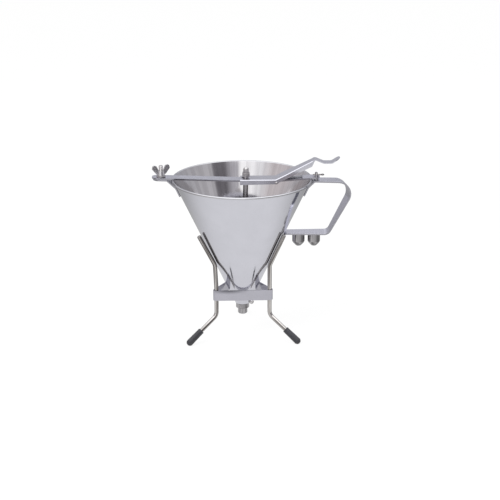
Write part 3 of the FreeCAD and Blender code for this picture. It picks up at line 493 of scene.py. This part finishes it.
CONE_OUT = steel("cone_outside", tint=(0.555, 0.555, 0.60), rough=0.10, grain=(60.0, 60.0, 260.0),
                 depth=0.01, blotch=0.03)
# Inside of the cone: its dark radial streaks are painted reflections
CONE_IN = steel("cone_inside", tint=(0.59, 0.58, 0.59), rough=0.11, grain=(260.0, 260.0, 12.0), depth=0.03,
                blotch=0.04, painted_reflections=((0.05, 70.0, 1.0), (0.51, 0.50, 0.51), 0.42, 0.55))
BEAD = steel("rolled_rim", tint=(0.47, 0.47, 0.49), rough=0.06, grain=(60.0, 60.0, 260.0), depth=0.01,
             blotch=0.03)
STRAP = steel("strap_steel", tint=(0.53, 0.53, 0.59), rough=0.24, grain=(60.0, 1400.0, 60.0), depth=0.03)
# The band's one dark spot, at its upper left in front, is painted shade
BAND = steel("band_steel", tint=(0.42, 0.415, 0.46), rough=0.18, grain=(60.0, 60.0, 1400.0), depth=0.04,
             wave=0.0012, painted_shade=((-0.019, -0.03, 0.0745), (0.034, 0.02, 0.007), (0.10, 0.10, 0.115)))
# Sheared edges of the straps: a rougher finish, with a darker tint that is partly painted shade
SHEARED_AND_SHADED = steel("sheared_and_shaded_edge", tint=(0.33, 0.325, 0.355), rough=0.2, grain=(900.0, 900.0, 900.0),
                depth=0.15, blotch=0.1)
TURNED = steel("turned_steel", tint=(0.52, 0.505, 0.505), rough=0.16, grain=(120.0, 120.0, 2400.0),
               depth=0.05, blotch=0.06)
# The rod's dark upright streaks are painted reflections
LATHED = steel("lathed_steel", tint=(0.46, 0.445, 0.445), rough=0.16, grain=(120.0, 120.0, 2400.0),
               depth=0.05, blotch=0.06, painted_reflections=((0.05, 8.0, 1.0), (0.28, 0.27, 0.275), 0.42, 0.56))
# The nozzles' dark upright streaks are painted reflections
NOZZLE = steel("nozzle_steel", tint=(0.38, 0.37, 0.38), rough=0.14, grain=(120.0, 120.0, 2000.0),
               depth=0.04, blotch=0.06, painted_reflections=((0.12, 9.0, 1.0), (0.17, 0.165, 0.17), 0.43, 0.55))
CAST = steel("cast_steel", tint=(0.56, 0.55, 0.56), rough=0.18, grain=(700.0, 700.0, 700.0), depth=0.2,
             blotch=0.08)
LEVER = steel("lever_steel", tint=(0.55, 0.55, 0.60), rough=0.2, grain=(300.0, 1400.0, 300.0), blotch=0.03)
# The wire's dark streaks along its length are painted reflections
WIRE = steel("wire_steel", tint=(0.52, 0.50, 0.485), rough=0.11, grain=(300.0, 300.0, 300.0),
             painted_reflections=((8.0, 7.0, 1.0), (0.11, 0.10, 0.095), 0.46, 0.56))
SPRING = steel("spring_steel", tint=(0.30, 0.30, 0.32), rough=0.3, grain=(60.0, 1400.0, 60.0), depth=0.04)
RUBBER = rubber("foot_rubber")

SLOT_COATS = {
    "cone_steel": CONE_OUT, "strap_steel": STRAP, "turned_steel": TURNED, "nozzle_steel": NOZZLE,
    "cast_steel": CAST, "wire_steel": WIRE, "spring_steel": SPRING, "foot_rubber": RUBBER,
}


# Meshes

SAME_PLACE = 2e-6
FLAT_TURN = math.radians(0.3)
SHARP_TURN = math.radians(28)
# Faces that look this far along Y get the darker edge coat, which is partly painted shade
SHEARED_SHADED_FACE = 0.8
SHEARED_SHADED_BEND = 0.6


def rounded(corners, turn):
    """Points of a line whose corners (x, y, radius) are rounded, with a point for each turn in degrees."""
    points = []
    for number, corner in enumerate(corners):
        here = Vector(corner[:2])
        radius = corner[2] if len(corner) > 2 else 0.0
        if radius == 0.0 or number in (0, len(corners) - 1):
            points.append(here)
            continue
        back = (Vector(corners[number - 1][:2]) - here).normalized()
        ahead = (Vector(corners[number + 1][:2]) - here).normalized()
        bend = math.pi - back.angle(ahead)
        reach = radius * math.tan(bend / 2)
        start = here + back * reach
        end = here + ahead * reach
        steps = max(2, math.ceil(math.degrees(bend) / turn))
        middle = here + (back + ahead).normalized() * radius / math.cos(bend / 2)
        for step in range(steps + 1):
            share = step / steps
            arm = (start - middle) * math.sin(bend * (1 - share)) + (end - middle) * math.sin(bend * share)
            points.append(middle + arm / math.sin(bend))
    return points


def circle_points(radius, count):
    angles = [2 * math.pi * k / count for k in range(count)]
    return [(radius * math.cos(a), radius * math.sin(a)) for a in angles]


def strap_section(width, sheet, edge=0.35):
    """Section of a strap with slightly rounded edges, across first and then through the sheet."""
    across, through = width / 2, sheet / 2
    corners = ((-across, -through), (across, -through), (across, through), (-across, through))
    inward = ((1, 1), (-1, 1), (-1, -1), (1, -1))
    starts = (180, 270, 0, 90)
    points = []
    for (x, y), (dx, dy), start in zip(corners, inward, starts):
        for step in range(4):
            angle = math.radians(start + 30 * step)
            points.append((x + dx * edge + edge * math.cos(angle), y + dy * edge + edge * math.sin(angle)))
    return points


def make_piece(name, bm, node, coats, sharp=32.0):
    """An object of a bmesh in metres, with its materials, that replaces a node."""
    mesh = bpy.data.meshes.new(name)
    bmesh.ops.recalc_face_normals(bm, faces=bm.faces)
    bm.to_mesh(mesh)
    bm.free()
    for coat in coats:
        mesh.materials.append(coat)
    mesh.shade_smooth()
    mesh.set_sharp_from_angle(angle=math.radians(sharp))
    piece = bpy.data.objects.new(name, mesh)
    bpy.context.scene.collection.objects.link(piece)
    flat = piece.modifiers.new("flat_faces", "WEIGHTED_NORMAL")
    flat.weight = 100
    flat.keep_sharp = True
    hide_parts(node)
    return piece


def add_piece(name, bm, node, coats, sharp=32.0):
    """A piece that rides on the body of its node."""
    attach(make_piece(name, bm, node, coats, sharp), NODE_BODIES[node])


def lathe(profile, count=96, place=None, coat_of=None, closed=True):
    """Turn (radius, z) points round the Z axis, in mm, and place the result.

    Points on the axis become one vertex. coat_of gives the coat for the faces after each point.
    """
    bm = bmesh.new()
    wrap = bm.loops.layers.uv.new("wrap")
    rings = []
    for radius, z in profile:
        if radius < 1e-6:
            rings.append([bm.verts.new((0, 0, z))])
        else:
            rings.append([bm.verts.new((x, y, z)) for x, y in circle_points(radius, count)])
    pairs = list(zip(rings, rings[1:]))
    if closed:
        pairs.append((rings[-1], rings[0]))
    for number, (low, high) in enumerate(pairs):
        if len(low) == 1 and len(high) == 1:
            continue
        for k in range(count):
            after = (k + 1) % count
            corners = [low[k % len(low)], low[after % len(low)], high[after % len(high)], high[k % len(high)]]
            face = bm.faces.new(list(dict.fromkeys(corners)))
            for loop in face.loops:
                at_high = loop.vert in high
                at_after = loop.vert in (low[after % len(low)], high[after % len(high)])
                loop[wrap].uv = (number + at_high, (k + at_after) / count)
            if coat_of:
                face.material_index = coat_of(number)
    bmesh.ops.transform(bm, matrix=Matrix.Scale(MM, 4) @ (place or Matrix.Identity(4)), verts=bm.verts)
    return bm


def tube(line, section, azimuth=0.0, tip=1.0):
    """Sweep a section along (x, z) points in an upright plane through the axis, with closed ends.

    tip is the size of its first ring, as a share of the section.
    """
    bm = bmesh.new()
    wrap = bm.loops.layers.uv.new("wrap")
    count = len(section)
    rings = []
    runs = [0.0]
    for here, after in zip(line, line[1:]):
        runs.append(runs[-1] + (after - here).length * MM)
    for number, here in enumerate(line):
        before = line[max(0, number - 1)]
        after = line[min(len(line) - 1, number + 1)]
        run_in = (here - before).normalized() if number else (after - here).normalized()
        run_out = (after - here).normalized() if number < len(line) - 1 else run_in
        along = (run_in + run_out).normalized()
        stretch = 1.0 / max(0.5, along.dot(run_out))
        side = Vector((along.y, -along.x)) * stretch
        size = 1.0 if number else tip
        rings.append([bm.verts.new((here.x + side.x * v * size, u * size, here.y + side.y * v * size))
                      for u, v in section])
    for number, (low, high) in enumerate(zip(rings, rings[1:])):
        for k in range(count):
            face = bm.faces.new((low[k], low[(k + 1) % count], high[(k + 1) % count], high[k]))
            spots = ((k, number), (k + 1, number), (k + 1, number + 1), (k, number + 1))
            for loop, (turn, row) in zip(face.loops, spots):
                loop[wrap].uv = (turn / count, runs[row])
    bm.faces.new(rings[0])
    bm.faces.new(rings[-1])
    upright = Matrix.Rotation(math.radians(azimuth), 4, "Z") @ Matrix.Scale(MM, 4)
    bmesh.ops.transform(bm, matrix=upright, verts=bm.verts)
    return bm


def is_fold(edge):
    """Long outer edge between the lever's web and one of its flanges."""
    if not edge.is_manifold or edge.calc_length() < FOLD_SHORTEST * MM:
        return False
    past_end = FOLD_END * 1.001 * MM
    if any(abs(v.co.y) < FOLD_SIDE * MM or v.co.z < FOLD_LOW * MM or v.co.x > past_end for v in edge.verts):
        return False
    side, web = sorted(edge.link_faces, key=lambda f: f.normal.z)
    return web.normal.z > 0.5 and abs(side.normal.y) > 0.8 and edge.is_convex


def coat_edges(bm, least):
    """Give the second coat to the faces that look along Y, where a strap was sheared; its darker tint is
    partly painted shade.
    """
    bm.normal_update()
    for face in bm.faces:
        if abs(face.normal.y) > least:
            face.material_index = 1


def bevel_edges(bm, edges, width, segments, **kind):
    bmesh.ops.bevel(bm, geom=edges, offset=width * MM, offset_type="OFFSET", segments=segments, profile=0.5,
                    affect="EDGES", **kind)


def round_folds(bm):
    """Round the lever's outer edges where its sheet is folded down, up to the end of the folds."""
    bmesh.ops.bisect_plane(bm, geom=bm.verts[:] + bm.edges[:] + bm.faces[:], dist=1e-7,
                           plane_co=(FOLD_END * MM, 0, 0), plane_no=(1, 0, 0))
    bevel_edges(bm, [e for e in bm.edges if is_fold(e)], FOLD_RADIUS, 5, clamp_overlap=False)
    bm.normal_update()


def softened(node, width, segments=2, coats=None, folded=False):
    """A copy of a CAD node with its edges rounded. A second coat, partly painted shade, goes on its sheared
    edges.
    """
    bm = bmesh.new()
    bm.from_mesh(NODES[node].data)
    bmesh.ops.remove_doubles(bm, verts=bm.verts, dist=SAME_PLACE)
    bmesh.ops.dissolve_limit(bm, angle_limit=FLAT_TURN, verts=bm.verts, edges=bm.edges)
    bm.normal_update()
    if folded:
        round_folds(bm)
    sharp = [e for e in bm.edges if e.is_manifold and e.calc_face_angle() > SHARP_TURN]
    bevel_edges(bm, sharp, width, segments, clamp_overlap=True, miter_outer="ARC")
    coats = coats or [SLOT_COATS[NODE_SLOTS[node]]]
    if len(coats) > 1:
        coat_edges(bm, SHEARED_SHADED_FACE)
    add_piece(node + "_soft", bm, node, coats, 40.0)


# Pieces

def add_cone():
    inner = [(cone_radius(z) - SHEET_ACROSS, z) for z in (CONE_END, *CONE_RINGS, INSIDE_TOP)]
    x, z = BEAD_MIDDLE
    angles = [math.radians(a) for a in BEAD_ANGLES]
    roll = [(x + BEAD_RADIUS * math.cos(a), z + BEAD_RADIUS * math.sin(a)) for a in angles]
    outer = [(cone_radius(z), z) for z in (OUTSIDE_TOP, *reversed(CONE_RINGS), CONE_END)]
    inside_faces = len(inner) - 1
    roll_faces = inside_faces + len(LIP) + len(roll)

    def coat_of(number):
        if number < inside_faces:
            return 1
        return 2 if number < roll_faces else 0
    bm = lathe([*inner, *LIP, *roll, *outer], 192, coat_of=coat_of)
    add_piece("cone_shell", bm, "funnel_cone", [CONE_OUT, CONE_IN, BEAD])


def add_nozzles():
    fitted = rounded([
        (OUTLET_THREAD, COLLAR_TOP), (COLLAR_RADIUS, COLLAR_TOP, 0.3), (COLLAR_RADIUS, COLLAR_LOW, 0.3),
        (8.7, SPOUT_TOP, 0.3), (SPOUT_RADIUS, SPOUT_TOP, 0.3), (SPOUT_RADIUS, 32.4, 0.6), (5.4, MOUTH, 0.4),
        (MOUTH_BORE, MOUTH, 0.3), (MOUTH_BORE, THREAD_END), (OUTLET_THREAD, THREAD_END),
    ], 22.0)
    add_piece("fitted_nozzle_turned", lathe(fitted), "fitted_nozzle", [NOZZLE])
    for name, place, bore in SPARES:
        spare = rounded([
            (OUTLET_THREAD, SPARE_TOP), (SPARE_RADIUS, SPARE_TOP, 0.3), (SPARE_RADIUS, SPARE_EDGE, 0.4),
            (7.6, 136.1, 1.2), (3.7, SPARE_TIP, 0.5), (bore, SPARE_TIP), (bore, SPARE_THREAD_END),
            (OUTLET_THREAD, SPARE_THREAD_END),
        ], 22.0)
        add_piece(name + "_turned", lathe(spare, place=Matrix.Translation((place, 0, 0))), name, [NOZZLE])


def add_clamp_screw():
    """The clamp's stud with a real helical thread."""
    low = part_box("clamp_stud")[0].z / MM
    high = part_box("clamp_stud")[1].z / MM
    bm = bmesh.new()
    count = 32
    rows_per_turn = 4
    depth = PITCH * THREAD_DEPTH
    rows = int((high - low) / PITCH * rows_per_turn) + 1
    rings = []
    for row in range(rows + 1):
        z = low + (high - low) * row / rows
        limit = SCREW_RADIUS - max(0.0, SCREW_BEVEL - (high - z)) - max(0.0, SCREW_BEVEL * 0.5 - (z - low))
        ring = []
        for k in range(count):
            phase = (z / PITCH + k / count) % 1.0
            cut = min(depth, depth * abs(2 * phase - 1) * 1.25)
            r = min(SCREW_RADIUS - cut, limit)
            angle = 2 * math.pi * k / count
            ring.append(bm.verts.new((r * math.cos(angle), r * math.sin(angle), z)))
        rings.append(ring)
    for a, b in zip(rings, rings[1:]):
        for k in range(count):
            bm.faces.new((a[k], a[(k + 1) % count], b[(k + 1) % count], b[k]))
    bm.faces.new(rings[0])
    bm.faces.new(rings[-1])
    place = Matrix.Scale(MM, 4) @ Matrix.Translation((CLAMP_PLACE, 0, 0))
    bmesh.ops.transform(bm, matrix=place, verts=bm.verts)
    add_piece("clamp_screw", bm, "clamp_stud", [TURNED], 60.0)


def add_rod():
    lean = Matrix.Translation((0, 0, ROD_END)) @ Matrix.Rotation(ROD_LEAN, 4, "Y")
    thread_start = (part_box("rod_nut")[0].z / MM - ROD_END) / math.cos(ROD_LEAN)
    end = (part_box("valve_rod")[1].z / MM - ROD_END) / math.cos(ROD_LEAN)
    profile = rounded([
        (0, 0), (ROD_TIP_RADIUS, 0, 0.3), (ROD_RADIUS, ROD_TIP, 0.3), (ROD_RADIUS, thread_start, 0.2),
        (ROD_THREAD_RADIUS, thread_start), (ROD_THREAD_RADIUS, end, 0.3), (0, end),
    ], 22.0)
    add_piece("valve_rod_turned", lathe(profile, 64, lean, closed=False), "valve_rod", [LATHED])


def foot_line(x):
    """Height of a leg's middle line in its foot, at x from the axis."""
    return TIP_HEIGHT + (FOOT_PLACE - x) * math.tan(math.radians(FOOT_SPLAY))


def leg_line(side):
    """Middle line of a leg, from the tip of its arm to its end in the foot."""
    if side == "left":
        arm = list(LEFT_ARM)
    else:
        turn = math.radians(ARM_ANGLES[side])
        arm_end = (LEG_PLACE + ARM_LENGTH * math.sin(turn), SHOULDER + ARM_LENGTH * math.cos(turn))
        arm = [arm_end, (LEG_PLACE, SHOULDER, SHOULDER_BEND)]
    end = FOOT_PLACE - FOOT_WALL * math.cos(math.radians(FOOT_SPLAY))
    line = rounded(arm + [(LEG_PLACE, foot_line(LEG_PLACE), ANKLE_BEND), (end, foot_line(end))], 5.0)
    line.insert(1, line[0] + (line[1] - line[0]).normalized() * 0.6)
    return line


def add_legs():
    for side, azimuth in LEG_AZIMUTHS.items():
        turned = azimuth + STAND_TURN
        bm = tube(leg_line(side), circle_points(WIRE_RADIUS, 32), turned, 0.84)
        if side == "left":
            # this arm was bent by hand: above its bend it also leans sideways, along the cone
            turn = Matrix.Rotation(math.radians(turned), 3, "Z")
            sideways = turn @ Vector((0.0, LEFT_ARM_SIDEWAYS * MM, 0.0))
            for vertex in bm.verts:
                vertex.co += sideways * share_of(vertex.co.z / MM, LEFT_ARM_LOW, LEFT_ARM_RISE, 1.2)
        add_piece("leg_wire_" + side, bm, "leg_" + side, [WIRE], 50.0)
        add_foot(side, turned)


def add_foot(side, azimuth):
    """Rubber cap over a leg's end, flat where it stands."""
    angles = [math.radians(a) for a in range(0, 91, 9)]
    end = [(FOOT_RADIUS * math.sin(a), -FOOT_RADIUS * 0.97 * math.cos(a)) for a in angles]
    mouth = [(4.34, 21.6), (4.5, 22.2), (4.5, 22.8), (4.25, 23.0), (3.15, 23.0)]
    hole = [(3.05, 22.8), (3.05, FOOT_WALL), (0, FOOT_WALL)]
    turn = Matrix.Rotation(math.radians(azimuth), 4, "Z")
    lean = Matrix.Rotation(-math.radians(90.0 - FOOT_SPLAY), 4, "Y")
    place = turn @ Matrix.Translation((FOOT_PLACE, 0, TIP_HEIGHT)) @ lean
    bm = lathe(end + mouth + hole, 64, place, closed=False)
    for vertex in bm.verts:
        vertex.co.z = max(vertex.co.z, 0.0)
    add_piece("foot_cap_" + side, bm, "foot_" + side, [RUBBER], 60.0)


def add_handle():
    def on_cone(z, *bend):
        return (cone_radius(z) + STRAP_OFF, z, *bend)
    slope_foot = RIM - (STRAP_REACH - STRAP_OFF) / (1 - SLOPE)
    line = rounded([
        on_cone(UPPER_TAB_END), on_cone(slope_foot, STRAP_BEND), (*UPPER_BAR[0], STRAP_BEND),
        (*UPPER_BAR[1], UPPER_BEND), (LOWER_BAR_END, LOWER_BAR, LOWER_BEND), on_cone(LOWER_BAR, STRAP_BEND),
        on_cone(LOWER_TAB_END),
    ], 6.0)
    bm = tube(line, strap_section(STRAP_WIDTH, STRAP_SHEET))
    # bent by hand: the grip is twisted a little towards its front edge, and both bars are tilted
    for vertex in bm.verts:
        x, y, z = (c / MM for c in vertex.co)
        grip = share_of(x, *GRIP_OUT) * share_of(z, *GRIP_UP)
        vertex.co.x -= (GRIP_TWIST * y + GRIP_SHIFT) * grip * MM
        low_bar = share_of(x, *LOWER_BAR_OUT) * share_of(-z, *LOWER_BAR_DOWN)
        top_bar = share_of(x, *UPPER_BAR_OUT) * share_of(z, *UPPER_BAR_UP)
        vertex.co.z += (LOWER_BAR_TILT * low_bar + UPPER_BAR_TILT * top_bar) * y * MM
    coat_edges(bm, SHEARED_SHADED_BEND)
    add_piece("handle_strap", bm, "handle", [STRAP, SHEARED_AND_SHADED], 50.0)


def add_spring():
    """Leaf between the lever's web and the bar."""
    line = rounded(SPRING_LINE, 9.0)
    fine = [a.lerp(b, s / SPRING_STEPS) for a, b in zip(line, line[1:]) for s in range(SPRING_STEPS)]
    bm = tube(fine + [line[-1]], strap_section(8.0, 0.6, 0.12))
    piece = make_piece("leaf_spring", bm, "return_spring", [SPRING], 50.0)
    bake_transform(piece)


def dress_frame():
    for name, node in NODES.items():
        node.data.materials.clear()
        node.data.materials.append(SLOT_COATS[NODE_SLOTS[name]])


dress_frame()
add_cone()
add_nozzles()
add_rod()
add_legs()
add_handle()
add_spring()
add_clamp_screw()
softened("bridge_bar", 0.3, coats=[STRAP, SHEARED_AND_SHADED])
softened("lever", 0.3, coats=[LEVER], folded=True)
softened("clamp_bracket", 0.3, coats=[STRAP, SHEARED_AND_SHADED])
softened("stand_band", 0.25, coats=[BAND])
softened("wing_nut", 0.7, 3)
softened("rod_nut", 0.25)
softened("rod_cap_nut", 0.6, 3)
softened("hook_stud", 0.3)
softened("pivot_pin", 0.3)
softened("retaining_pin", 0.2)
softened("clamp_washer", 0.2)
softened("socket_lug", 0.5, 3)
add_camera()
make_world()
make_floor()
for lamp_name, lamp_place, lamp_watts in LAMPS:
    add_lamp(lamp_name, lamp_place, lamp_watts)

scene = bpy.context.scene
scene.view_settings.view_transform = "Standard"
